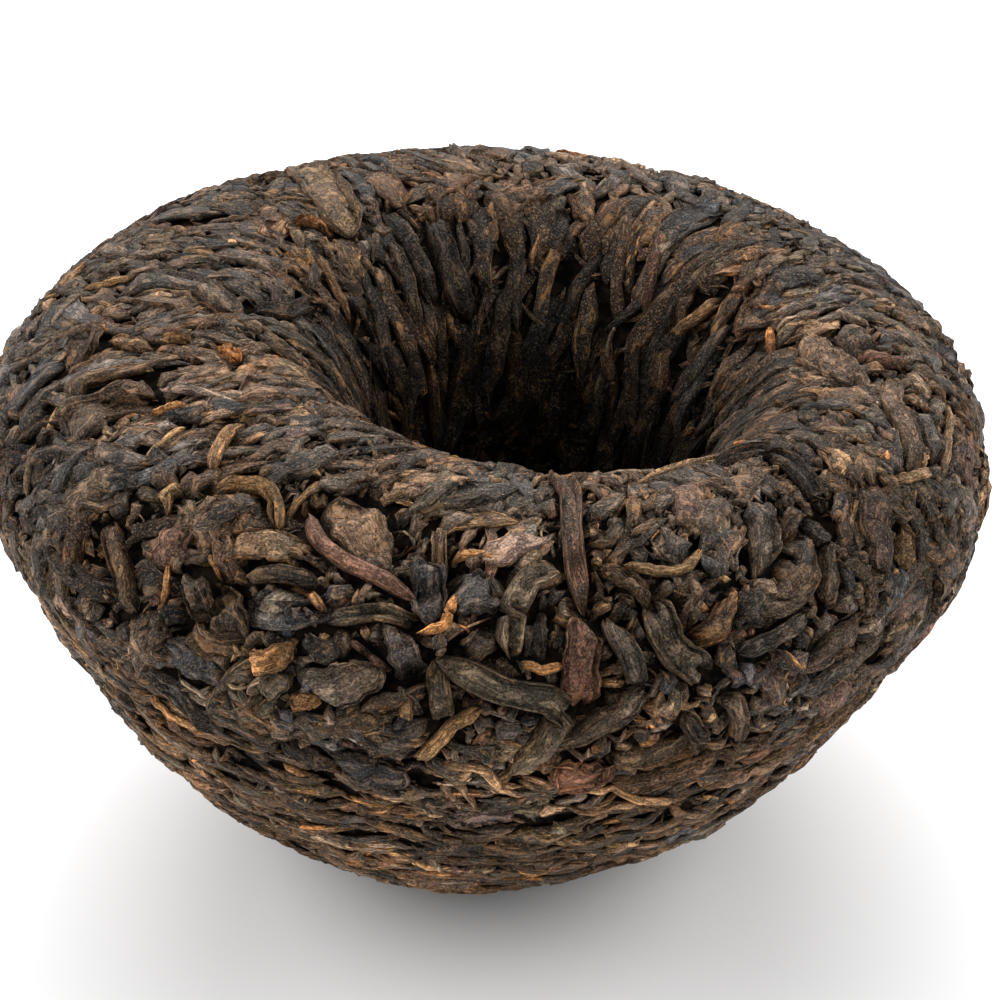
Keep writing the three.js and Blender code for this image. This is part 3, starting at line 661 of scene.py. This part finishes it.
def leaf_bodies(draw, leaves, around):
    """Closed bodies for leaves of one kind and mesh: vertices in mm, faces, and their colours and places"""
    shape = KINDS[leaves["kind"][0]]
    rows, sides = int(leaves["rows"][0]), int(leaves["sides"][0])
    count = len(leaves["length"])
    width, thick = leaves["width"][:, None], leaves["thick"][:, None]
    even = np.linspace(0, 1, rows)
    places = 0.5 * even + 0.25 * (1 - np.cos(np.pi * even))
    keys = ("azimuth", "level", "heading", "top")
    azimuth, level, heading, top = (along_leaves(leaves[key], places) for key in keys)
    course = np.radians(heading)
    point, normal, turn, climb = frame_at(azimuth, level)
    forward = climb * np.cos(course)[..., None] + turn * np.sin(course)[..., None]
    side = np.cross(normal, forward)

    run = 2 * places - 1
    bluntness = shape["blunt"] * np.exp(draw.normal(0, BLUNT_SPREAD, (count, 2, 1)))
    falling = np.where(run < 0, np.abs(run) ** bluntness[:, 0], np.abs(run) ** bluntness[:, 1])
    taper = (1 - falling * TIP_FALL) ** draw.uniform(*TAPERS, (count, 1))
    ragged = shape["ragged"] * (NAMED_RAGGED if rows == NAMED_MESH[0] else 1)
    left = width / 2 * taper * (1 + waves(draw, count, places, EDGE_WAVES, ragged))
    right = width / 2 * taper * (1 + waves(draw, count, places, EDGE_WAVES, ragged))
    half_thick = thick / 2 * taper ** 0.8 * (1 + waves(draw, count, places, [1.7, 4.1], ragged))

    angle = np.radians(np.concatenate([[-90], np.linspace(-30, 210, sides - 1)]))
    across = np.sign(np.cos(angle)) * np.abs(np.cos(angle)) ** shape["boxy"]
    upward = np.sign(np.sin(angle)) * np.abs(np.sin(angle)) ** shape["boxy"]
    is_top = np.clip(upward * 1.5 + 0.3, 0, 1)
    folds = np.zeros((count, rows, sides))
    for number, drift in FOLD_SETS:
        phase = draw.uniform(0, 2 * np.pi, (count, 1, 1))
        slide = draw.normal(0, 1, (count, 1, 1)) * drift
        pace = draw.uniform(*PACES, (count, 1, 1)) * number * shape["folds"]
        swing = phase + pace * across * 1.6 + slide * places[None, :, None]
        groove = np.exp(-(np.sin(swing / 2) / GROOVE_WIDTH) ** 2)
        folds += (0.5 - GROOVE_DEPTH * groove) / number ** 0.5
    fold_depth = shape["fold"] * np.sqrt(width)[..., None] * taper[..., None]
    curl = draw.normal(0.3, 1, (count, 1, 1)) * shape["curl"] * half_thick[..., None]
    x = np.where(across > 0, right[..., None], left[..., None]) * across
    y = half_thick[..., None] * upward + is_top * folds * fold_depth + curl * (across ** 2 - 0.4) * 1.6
    y = y + (waves(draw, count, places, [2.1, 4.6], 0.10) * thick)[..., None]
    coarse = FINE_ROWS / max(rows, FINE_ROWS)
    x = x + draw.normal(0, 0.035 * coarse, x.shape) * width[..., None]
    y = y + draw.normal(0, 0.04 * coarse, y.shape) * thick[..., None]
    near_ends = np.abs(run)[None, :, None] ** 3
    slant = draw.normal(0, 1, (count, 2, 1)) * shape["slant"]
    slant = np.where(run < 0, slant[:, 0], slant[:, 1])[..., None]
    torn = draw.normal(0, TORN, (count, 2, sides))
    torn = (np.roll(torn, 1, 2) + torn + np.roll(torn, -1, 2)) / 2
    torn = np.where(run[None, :, None] < 0, torn[:, :1], torn[:, 1:])
    torn = torn * np.minimum(width, TORN_WIDTH)[..., None]
    slide = (slant * x + torn) * near_ends
    roll = draw.normal(0, 0.6, (count, 1)) * shape["roll"] + waves(draw, count, places, [0.6], shape["roll"])
    roll = (np.radians(roll) * np.clip(thick / width, 0.3, 1))[..., None]
    x, y = x * np.cos(roll) - y * np.sin(roll), x * np.sin(roll) + y * np.cos(roll)
    height = (top - thick / 2)[..., None] + y
    rings = point[:, :, None] + side[:, :, None] * x[..., None] + normal[:, :, None] * height[..., None]
    rings = rings + forward[:, :, None] * slide[..., None]

    overhang = OVERHANG * width
    first_tip = rings[:, 0].mean(1) - forward[:, 0] * overhang
    last_tip = rings[:, -1].mean(1) + forward[:, -1] * overhang
    vertices = np.concatenate([rings.reshape(count, -1, 3), first_tip[:, None], last_tip[:, None]], axis=1)
    vertices[..., 2] = np.maximum(vertices[..., 2], LOWEST)

    # Worn edges are lighter. Painted shade darkens what lies below the leaves around it, and painted light
    # brightens what stands above them
    worn = np.abs(across) ** 4 * 0.7 + np.abs(run)[None, :, None] ** 6 * 0.5 + np.maximum(folds, 0) * 0.4
    worn = worn * leaves["rim_strength"][:, None, None] * draw.uniform(*WORN, folds.shape)
    worn = np.clip(worn, 0, MOST_WORN)[..., None]
    mottle = 1 + waves(draw, count, places, [1.1, 2.6], 0.18)[..., None] + draw.normal(0, 0.10, folds.shape)
    beside = cell_beside(azimuth[..., None], level[..., None], course[..., None], x)
    buried = height - around[beside]
    painted_shading = np.exp(BURIED_FALL * (buried + BURIED_START) / np.clip(thick[..., None], 0.5, 1.4))
    light = np.clip(painted_shading, *BURIED_LIMITS)
    tint = leaves["tint"][:, None, None] * (1 - worn) + leaves["rim"][:, None, None] * worn
    tint = tint * (mottle * light)[..., None] * zone_colour(azimuth, level)[:, :, None]
    ends = [tint[:, 0].mean(1)[:, None], tint[:, -1].mean(1)[:, None]]
    tint = np.concatenate([tint.reshape(count, -1, 3)] + ends, axis=1)

    # Faces of one leaf, then of them all
    row, place = np.meshgrid(np.arange(rows - 1), np.arange(sides), indexing="ij")
    after = (place + 1) % sides
    corners = [row * sides + place, row * sides + after, (row + 1) * sides + after, (row + 1) * sides + place]
    quads = np.stack(corners, -1).reshape(-1, 4)
    loop = np.arange(sides)
    following = (loop + 1) % sides
    last = (rows - 1) * sides
    starts = np.stack([np.full(sides, rows * sides), following, loop], -1)
    finishes = np.stack([np.full(sides, rows * sides + 1), last + loop, last + following], -1)
    triangles = np.concatenate([starts, finishes])

    # Places on a leaf: mm along it and mm round it, each leaf in its own patch of the pattern
    reach = places * leaves["length"][:, None]
    girth = (width * 1.25 + thick)[..., None]
    patch = draw.uniform(0, PATTERN_SIZE, (count, 2))
    quad_row = np.stack([row, row, row + 1, row + 1], -1).reshape(-1, 4)
    quad_place = np.stack([place, place + 1, place + 1, place], -1).reshape(-1, 4)
    quad_u = reach[:, quad_row] + patch[:, :1, None]
    quad_v = quad_place / sides * girth + patch[:, 1:, None]
    starting, ending = np.stack([loop + 0.5, loop + 1, loop], -1), np.stack([loop + 0.5, loop, loop + 1], -1)
    fan = np.concatenate([starting, ending])
    fan_v = fan / sides * girth + patch[:, 1:, None]
    fan_u = np.zeros((count, 2 * sides, 3)) + patch[:, :1, None]
    fan_u[:, sides:] += leaves["length"][:, None, None]
    offset = (np.arange(count) * (rows * sides + 2))[:, None, None]
    return {
        "vertices": vertices.reshape(-1, 3),
        "tint": tint.reshape(-1, 3),
        "quads": (quads + offset).reshape(-1, 4),
        "triangles": (triangles + offset).reshape(-1, 3),
        "quad_uv": np.stack([quad_u, quad_v], -1).reshape(-1, 2),
        "triangle_uv": np.stack([fan_u, fan_v], -1).reshape(-1, 2),
    }


def fill(target, key, values, kind=np.float32):
    target.foreach_set(key, values.astype(kind).ravel())


def linked(name, data):
    """A new object in the scene"""
    made = bpy.data.objects.new(name, data)
    bpy.context.scene.collection.objects.link(made)
    return made


def joined_object(name, bodies, material, smooth):
    """One object of many closed bodies"""
    starts = np.cumsum([0] + [len(body["vertices"]) for body in bodies])

    def gathered(key, counted=0):
        return np.concatenate([body[key] + start * counted for body, start in zip(bodies, starts)])

    vertices, tint = gathered("vertices") * MM, gathered("tint")
    quads, triangles = gathered("quads", 1), gathered("triangles", 1)
    corners = np.concatenate([quads.ravel(), triangles.ravel()])
    uv = np.concatenate([gathered("quad_uv"), gathered("triangle_uv")])
    faces = np.concatenate([np.arange(len(quads)) * 4, len(quads) * 4 + np.arange(len(triangles)) * 3])
    colours = np.column_stack([np.clip(tint, 0, 1), np.ones(len(tint))])
    mesh = bpy.data.meshes.new(name)
    mesh.vertices.add(len(vertices))
    fill(mesh.vertices, "co", vertices)
    mesh.loops.add(len(corners))
    fill(mesh.loops, "vertex_index", corners, np.int32)
    mesh.polygons.add(len(faces))
    fill(mesh.polygons, "loop_start", faces, np.int32)
    fill(mesh.polygons, "use_smooth", np.full(len(faces), smooth), bool)
    mesh.update(calc_edges=True)
    fill(mesh.uv_layers.new(name="UVMap").data, "uv", uv)
    fill(mesh.attributes.new("tint", "FLOAT_COLOR", "POINT").data, "color", colours)
    mesh.validate()
    mesh.materials.append(material)
    piece = linked(name, mesh)
    print(name, "triangles", 2 * len(quads) + len(triangles))
    return piece


# Materials
SPECULAR = 0.13
STREAK_COLOUR = (0.21, 0.105, 0.038, 1.0)
DUST_COLOUR = (0.22, 0.155, 0.090, 1.0)

# Patterns for each mm along and across a leaf, and for each metre of the cake
FIBRES = (0.45, 3.4, 1.0)
CREASES = (0.20, 1.1, 1.0)
BENDS = 0.8
BENT = (0.9, 0.9, 0.0)
CRUMPLES = 2400.0
SPECKS = 6000.0
PATCHES = 430.0
LUMPS = 900.0


class Nodes:
    """A node tree that is written from left to right"""

    def __init__(self, name):
        self.material = bpy.data.materials.new(name)
        self.material.use_nodes = True
        self.tree = self.material.node_tree
        self.shader = self.tree.nodes["Principled BSDF"]

    def feed(self, node, inputs):
        for key, value in inputs.items():
            if isinstance(value, bpy.types.NodeSocket):
                self.tree.links.new(value, node.inputs[key])
            else:
                node.inputs[key].default_value = value

    def add(self, kind, inputs, **settings):
        node = self.tree.nodes.new(kind)
        for key, value in settings.items():
            setattr(node, key, value)
        self.feed(node, inputs)
        return node.outputs

    def noise(self, vector, scale, detail, roughness=0.6, distortion=0.0):
        inputs = dict(Vector=vector, Scale=scale, Detail=detail, Roughness=roughness, Distortion=distortion)
        return self.add("ShaderNodeTexNoise", inputs)[0]

    def mix(self, kind, share, first, second):
        inputs = {0: share, 6: first, 7: second}
        return self.add("ShaderNodeMix", inputs, data_type="RGBA", blend_type=kind)[2]

    def math(self, operation, *values):
        return self.add("ShaderNodeMath", dict(enumerate(values)), operation=operation)[0]

    def spread(self, value, low, high, new_low, new_high):
        fields = {"Value": value, "From Min": low, "From Max": high, "To Min": new_low, "To Max": new_high}
        return self.add("ShaderNodeMapRange", fields)[0]

    def grey(self, value):
        return self.add("ShaderNodeCombineColor", {0: value, 1: value, 2: value})[0]

    def bump(self, height, depth):
        return self.add("ShaderNodeBump", dict(Height=height, Strength=1.0, Distance=depth * MM))[0]


def leaf_material(name, contrast, warmth, dust, roughness, bump_mm, specular=SPECULAR):
    """Dry leaf: its own tint with fine fibres along it, creases and wrinkles darkened in their grooves with
    painted shade, crumpled patches, warm streaks and dust
    """
    nodes = Nodes(name)
    tint = nodes.add("ShaderNodeAttribute", {}, attribute_name="tint")["Color"]
    place = nodes.add("ShaderNodeUVMap", {}, uv_map="UVMap")[0]
    body = nodes.add("ShaderNodeTexCoord", {})["Object"]
    along = nodes.add("ShaderNodeMapping", dict(Vector=place, Scale=FIBRES))[0]
    fibres = nodes.noise(along, 1.0, 3.0, 0.72, 0.5)
    folded = nodes.add("ShaderNodeMapping", dict(Vector=place, Scale=CREASES))[0]
    bent = nodes.add("ShaderNodeTexNoise", dict(Vector=place, Scale=BENDS, Detail=2.0))["Color"]
    folded = nodes.add("ShaderNodeVectorMath", {0: bent, 1: BENT, 2: folded}, operation="MULTIPLY_ADD")[0]
    edges = nodes.add("ShaderNodeTexVoronoi", dict(Vector=folded, Scale=1.0), feature="DISTANCE_TO_EDGE")[0]
    crease_and_painted_shade = nodes.spread(edges, 0.0, 0.05, 0.0, 1.0)
    off_middle = nodes.math("ABSOLUTE", nodes.math("SUBTRACT", fibres, 0.5))
    wrinkle_and_painted_shade = nodes.spread(off_middle, 0.0, 0.04, 0.0, 1.0)
    crumple = nodes.noise(body, CRUMPLES, 3.0, 0.72)
    specks = nodes.noise(body, SPECKS, 1.0, 0.6)
    patches = nodes.noise(body, PATCHES, 2.0, 0.6)

    # Each pattern between two of its values, and how dark and light it makes the leaf; the wrinkles and
    # creases are painted shade, darkest in their grooves
    shade = nodes.spread(fibres, 0.34, 0.66, 1 - 1.5 * contrast, 1 + 1.9 * contrast)
    for pattern, *ends in (
        (crumple, 0.34, 0.66, 1 - contrast, 1 + 1.3 * contrast),
        (wrinkle_and_painted_shade, 0.0, 1.0, 0.50, 1.06),
        (crease_and_painted_shade, 0.0, 1.0, 0.72, 1.0),
        (patches, 0.40, 0.62, 0.78, 1.30),
        (specks, 0.30, 0.70, 0.5, 1.5),
    ):
        shade = nodes.math("MULTIPLY", shade, nodes.spread(pattern, *ends))
    coloured = nodes.mix("MULTIPLY", 1.0, tint, nodes.grey(shade))
    warm_patches = nodes.spread(patches, 0.46, 0.60, 0.05, 1.0)
    warm = nodes.math("MULTIPLY", warm_patches, nodes.spread(fibres, 0.48, 0.62, 0.0, warmth))
    coloured = nodes.mix("MIX", warm, coloured, STREAK_COLOUR)
    dusty_specks = nodes.spread(specks, 0.54, 0.70, 0.0, 1.0)
    dusty = nodes.math("MULTIPLY", dusty_specks, nodes.spread(patches, 0.60, 0.42, 0.3, dust))
    coloured = nodes.mix("MIX", dusty, coloured, DUST_COLOUR)
    rough = nodes.spread(crumple, 0.3, 0.7, roughness - 0.12, roughness + 0.14)
    grooves = nodes.math("MULTIPLY_ADD", crease_and_painted_shade, 0.4, nodes.math("MULTIPLY", wrinkle_and_painted_shade, 0.45))
    relief = nodes.math("MULTIPLY_ADD", fibres, 1.1, nodes.math("MULTIPLY_ADD", crumple, 0.6, grooves))
    looks = {"Base Color": coloured, "Roughness": rough, "Specular IOR Level": specular}
    nodes.feed(nodes.shader, looks | {"Normal": nodes.bump(relief, bump_mm)})
    return nodes.material


def packed_core(height, around):
    """What lies under the leaves: an outline spun into a body, then pressed to just under their tops"""
    rows, segments = 232, 400
    levels = np.interp(np.linspace(0, ARC[-1], rows + 2)[1:-1], ARC, LEVELS)
    outline = [(0, 0, -1)] + [(0, -1, level) for level in levels] + [(0, 0, 4)]
    mesh = bpy.data.meshes.new("packed_core")
    mesh.from_pydata(outline, [(n, n + 1) for n in range(len(outline) - 1)], [])
    core = linked("packed_core", mesh)
    bpy.ops.object.select_all(action="DESELECT")
    bpy.context.view_layer.objects.active = core
    core.select_set(True)
    bpy.ops.object.mode_set(mode="EDIT")
    bpy.ops.mesh.select_all(action="SELECT")
    bpy.ops.mesh.spin(steps=segments, angle=2 * np.pi, center=(0, 0, 0), axis=(0, 0, 1))
    bpy.ops.mesh.select_all(action="SELECT")
    bpy.ops.mesh.remove_doubles(threshold=1e-5)
    bpy.ops.mesh.normals_make_consistent(inside=False)
    bpy.ops.object.mode_set(mode="OBJECT")

    turned = np.zeros(len(mesh.vertices) * 3)
    mesh.vertices.foreach_get("co", turned)
    x, y, level = turned.reshape(-1, 3).T
    azimuth = np.degrees(np.arctan2(x, -y))
    lift = height[cell_at(azimuth, level)]
    for course in np.radians([0, 90, 180, 270]):
        lift = lift + height[cell_beside(azimuth, level, course, 0.5)]
    mounds = around[cell_at(azimuth, level)] - np.interp(level, MOUND_LEVELS, UNDER_MOUNDS)
    lift = np.maximum(lift / 5 - UNDER_LEAVES, mounds)
    point, normal, _, _ = frame_at(azimuth, level)
    placed = point + normal * lift[:, None]
    placed[:, 2] = np.maximum(placed[:, 2], LOWEST)
    fill(mesh.vertices, "co", placed * MM)
    fill(mesh.polygons, "use_smooth", np.ones(len(mesh.polygons)), bool)
    mesh.update()
    return core


def core_material():
    nodes = Nodes("packed leaf")
    lumps = nodes.noise(nodes.add("ShaderNodeTexCoord", {})["Object"], LUMPS, 6.0, 0.66)
    ramp = nodes.add("ShaderNodeValToRGB", {"Fac": lumps})[0]
    dark, light = ramp.node.color_ramp.elements
    # The core is nearly black: partly the dark packed leaf below, partly painted shade in the gaps between
    # the leaves
    dark.position, dark.color = 0.44, (0.0015, 0.0012, 0.001, 1)
    light.position, light.color = 0.70, (0.020, 0.013, 0.008, 1)
    looks = {"Base Color": ramp, "Roughness": 0.9, "Specular IOR Level": 0.05}
    nodes.feed(nodes.shader, looks | {"Normal": nodes.bump(lumps, 0.5)})
    return nodes.material


# Pieces by kind of leaf, and for some kinds by how warm the leaf's colour is. All deep leaves are one piece.
WARM = 1.75
DEEP_LEVEL = 2.6
WHOLE = {"flat": "flat_leaves", "stem": "golden_stems", "shred": "leaf_shreds"}
SPLIT = {"rolled": "rolled_leaves", "drawn": "drawn_leaves", "streak": "pressed_leaves", "chip": "leaf_chips"}
BLUR = 1.1

# Contrast, warmth, dust, roughness, relief in mm, and for one the specular level
LOOKS = {
    "flat_leaves": (0.42, 0.4, 0.5, 0.58, 0.26),
    "dark_leaf_chips": (0.42, 0.3, 0.4, 0.58, 0.24),
    "brown_leaf_chips": (0.42, 0.7, 0.7, 0.64, 0.24),
    "golden_stems": (0.34, 0.2, 0.3, 0.66, 0.16),
    "leaf_shreds": (0.4, 0.5, 0.6, 0.72, 0.18),
    "dark_rolled_leaves": (0.42, 0.22, 0.34, 0.52, 0.26),
    "brown_rolled_leaves": (0.44, 0.7, 0.7, 0.6, 0.28),
    "dark_drawn_leaves": (0.46, 0.3, 0.38, 0.56, 0.26),
    "brown_drawn_leaves": (0.48, 0.9, 0.7, 0.66, 0.28),
    "dark_pressed_leaves": (0.48, 0.4, 0.4, 0.6, 0.24),
    "brown_pressed_leaves": (0.5, 1.0, 0.7, 0.68, 0.26),
    "hollow_leaves": (0.46, 0.1, 0.05, 0.62, 0.26, 0.05),
}


def piece_names(leaves):
    warm = leaves["tint"][:, 0] / leaves["tint"][:, 2] > WARM
    shade = np.where(warm, "brown_", "dark_")
    by_kind = np.array([WHOLE.get(kind) or tone + SPLIT[kind] for kind, tone in zip(leaves["kind"], shade)])
    return np.where(leaves["level"][:, STATIONS // 2] > DEEP_LEVEL, "hollow_leaves", by_kind)


def tea_leaves():
    draw = np.random.default_rng(SEED)
    named = stacked([through(*leaf) for leaf in TOLD_APART])
    named, showing, height = laid(draw, named, stacked([sown(draw, *leaves) for leaves in SOWN]))
    around = blurred(height, BLUR)
    pieces = []
    leaves = stacked([named, showing])
    names = piece_names(leaves)
    for name, look in LOOKS.items():
        group = {key: value[names == name] for key, value in leaves.items()}
        bodies = []
        for kind, rows, sides in sorted(set(zip(group["kind"], group["rows"], group["sides"]))):
            pick = (group["kind"] == kind) & (group["rows"] == rows) & (group["sides"] == sides)
            bodies.append(leaf_bodies(draw, {key: value[pick] for key, value in group.items()}, around))
        material = leaf_material(name.replace("_", " "), *look)
        pieces.append(joined_object(name, bodies, material, name != "leaf_shreds"))
    core = packed_core(height, around)
    core.data.materials.append(core_material())
    return pieces + [core]


for piece in tea_leaves():
    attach(piece, "root")
    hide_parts("tea_cake")


# The floor, the light and the camera. Lights have a place and size in metres, and a power in watts.
TARGET = Vector((1.5, 0.0, 21.85)) * MM
CAMERA_DISTANCE = 260 * MM
CAMERA_ELEVATION = np.radians(32.65)
CAMERA_SHIFT = (0.0235, 0.0622)
CLIP_START = 0.01
SENSOR_WIDTH = 36
LENS = 111.96
FLOOR_SIZE = 6.0
TENT_LIGHT = 0.84
LIGHTS = {
    "back": ((0, 0.6, 0.6), 0.8, 8.0),
    "left": ((-0.65, 0.12, 0.4), 0.6, 4.5),
    "right": ((0.65, 0.12, 0.4), 0.6, 4.0),
}


def floor():
    bpy.ops.object.select_all(action="DESELECT")
    bpy.ops.mesh.primitive_plane_add(size=FLOOR_SIZE, location=(0, 0, 0))
    ground = bpy.context.active_object
    ground.name = "floor"
    nodes = Nodes("pale floor")
    looks = {"Base Color": (0.80, 0.80, 0.805, 1), "Roughness": 0.7, "Specular IOR Level": 0.2}
    nodes.feed(nodes.shader, looks)
    ground.data.materials.append(nodes.material)


def studio():
    world = bpy.data.worlds.new("white tent")
    bpy.context.scene.world = world
    world.use_nodes = True
    tent = world.node_tree.nodes["Background"].inputs
    tent["Color"].default_value = (1, 1, 1, 1)
    tent["Strength"].default_value = TENT_LIGHT
    for name, (place, size, power) in LIGHTS.items():
        data = bpy.data.lights.new(name, "AREA")
        data.shape = "DISK"
        data.size = size
        data.energy = power
        light = linked(name, data)
        light.location = place
        light.rotation_euler = (Vector((0, 0, 0)) - Vector(place)).to_track_quat("-Z", "Y").to_euler()
    bpy.context.scene.view_settings.view_transform = "Standard"


def camera():
    data = bpy.data.cameras.new("camera")
    data.sensor_width = SENSOR_WIDTH
    data.lens = LENS
    data.shift_x, data.shift_y = CAMERA_SHIFT
    data.clip_start = CLIP_START
    view = linked("camera", data)
    towards = Vector((0, -np.cos(CAMERA_ELEVATION), np.sin(CAMERA_ELEVATION)))
    view.location = TARGET + towards * CAMERA_DISTANCE
    view.rotation_euler = (-towards).to_track_quat("-Z", "Y").to_euler()
    bpy.context.scene.camera = view


floor()
studio()
camera()

bpy.context.view_layer.update()
